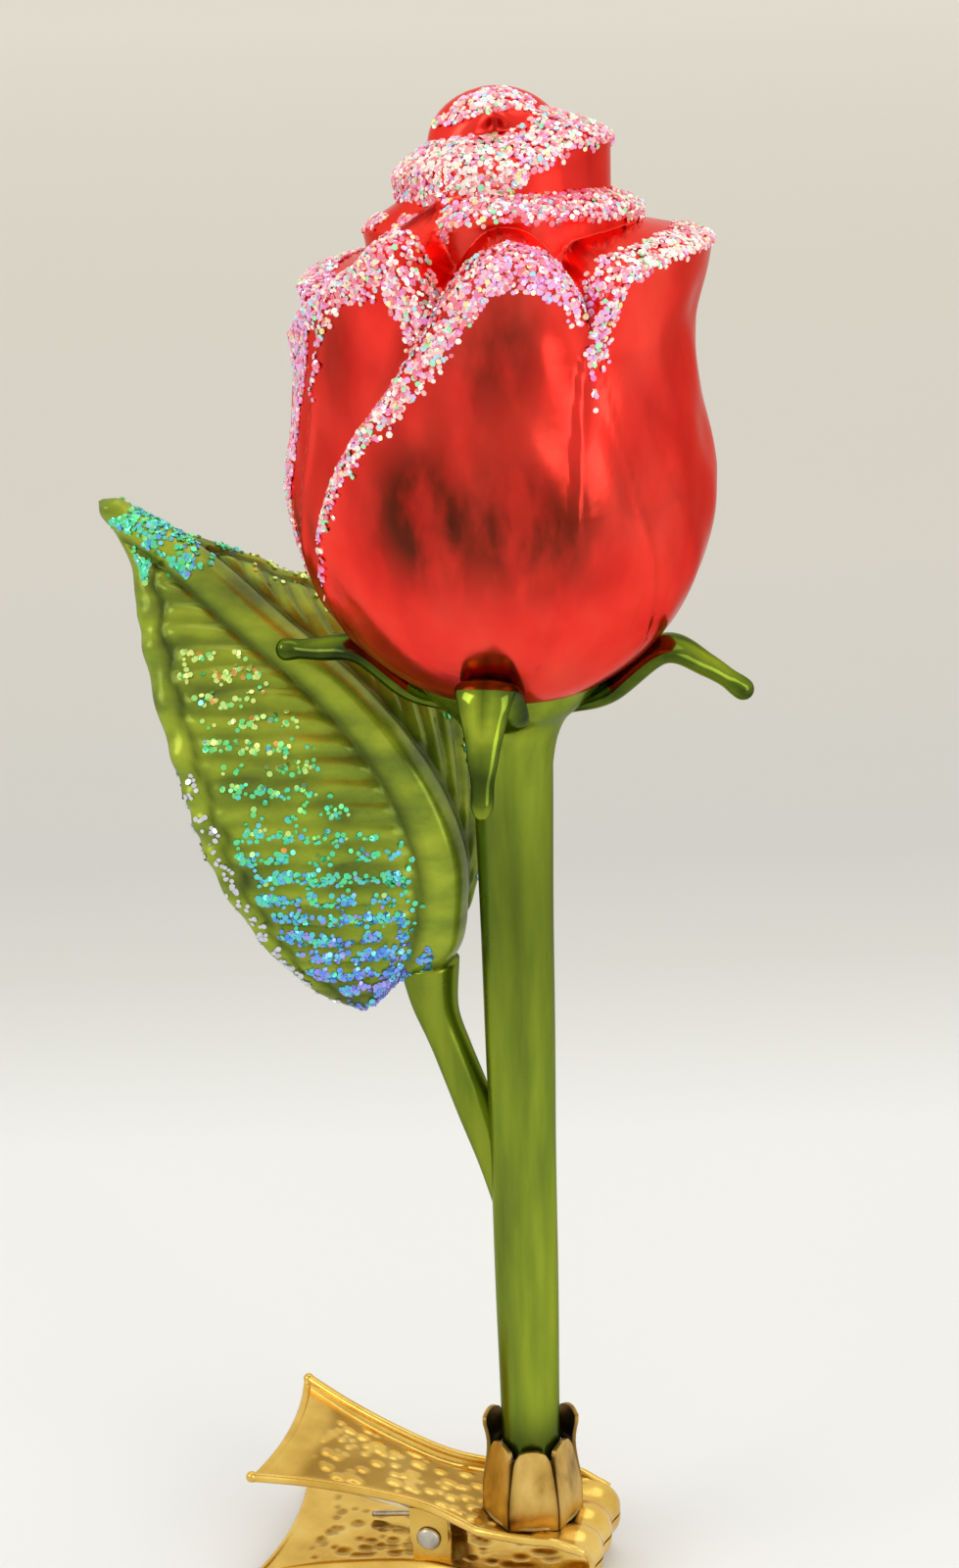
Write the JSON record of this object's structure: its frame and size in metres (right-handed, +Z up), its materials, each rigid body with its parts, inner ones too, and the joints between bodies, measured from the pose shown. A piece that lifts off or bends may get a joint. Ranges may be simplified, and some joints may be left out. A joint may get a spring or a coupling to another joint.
{
  "type": "clip-on glass rosebud ornament",
  "caption": "Blown-glass rosebud on a straight stem with sepals and a ribbed leaf, held in a stamped metal crown on a sprung two-lever clip that grips a twig or a shelf lip.",
  "frame": {"origin": "middle of the twig space between the closed jaws, on the axis of the rose's stem", "axes": "+Z up along the stem towards the bud, +X from the clip's handles towards its jaw tips, Y along the clip's hinge pin"},
  "size_m": [0.0709, 0.046, 0.1668],
  "materials": {
    "bud_glass": "red lacquer over silvered glass, satin gloss",
    "stem_glass": "olive green lacquer over silvered glass, satin",
    "leaf_glass": "green lacquer over silvered glass, glitter",
    "clip_metal": "bright gold plate, embossed",
    "crown_metal": "antique gold plate",
    "steel": "plain wire",
    "glue": "set glue, off-white"
  },
  "bodies": {
    "rose": {"rose_bud": "bud_glass", "calyx": "stem_glass", "sepal_front": "stem_glass", "sepal_right": "stem_glass", "sepal_back": "stem_glass", "sepal_left": "stem_glass", "stem": "stem_glass", "leaf_stalk": "stem_glass", "leaf": "leaf_glass", "crown_socket": "crown_metal", "crown_rivet": "crown_metal", "glue_seat": "glue", "upper_lever": "clip_metal", "hinge_pin": "steel", "torsion_spring": "steel"},
    "lower_jaw": {"lower_lever": "clip_metal"}
  },
  "joints": [
    {"name": "jaw_hinge", "type": "hinge", "parent": "rose", "child": "lower_jaw", "pos_m": [-0.011, 0, 0.00062], "axis": [0, 1, 0], "range_deg": [0, 28], "stiffness_Nm_per_rad": 0.05, "springref_deg": -68.75, "deforming": ["torsion_spring"]}
  ]
}
